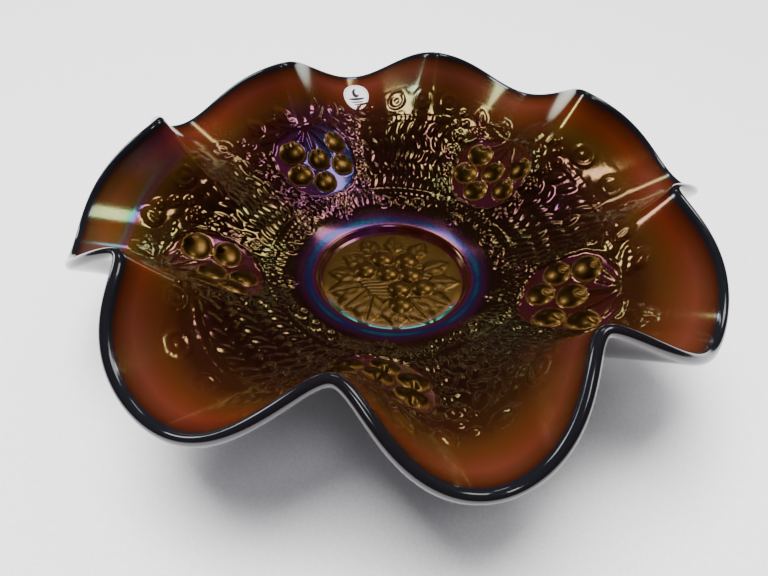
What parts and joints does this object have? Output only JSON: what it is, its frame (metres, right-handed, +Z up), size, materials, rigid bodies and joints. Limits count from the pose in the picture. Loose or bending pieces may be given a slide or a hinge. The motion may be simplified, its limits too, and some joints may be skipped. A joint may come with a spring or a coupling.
{
  "type": "ruffled glass bowl",
  "caption": "Wide, shallow pressed glass bowl with a crimped ruffled rim, a collar base and an oval paper label inside",
  "frame": {"origin": "on the table, at the middle of the bowl's collar base", "axes": "+Z up through the bowl's mouth; +X to the right and +Y away as the bowl is seen from its front"},
  "size_m": [0.2698, 0.2667, 0.0753],
  "materials": {
    "carnival_glass": "glossy dark amethyst glass under an iridescent metallic film, pink, gold, green and blue by angle",
    "label_paper": "white semi-matte gummed paper with a thin pinkish printed border"
  },
  "bodies": {
    "root": {"glass_bowl": "carnival_glass", "paper_label": "label_paper"}
  },
  "joints": []
}
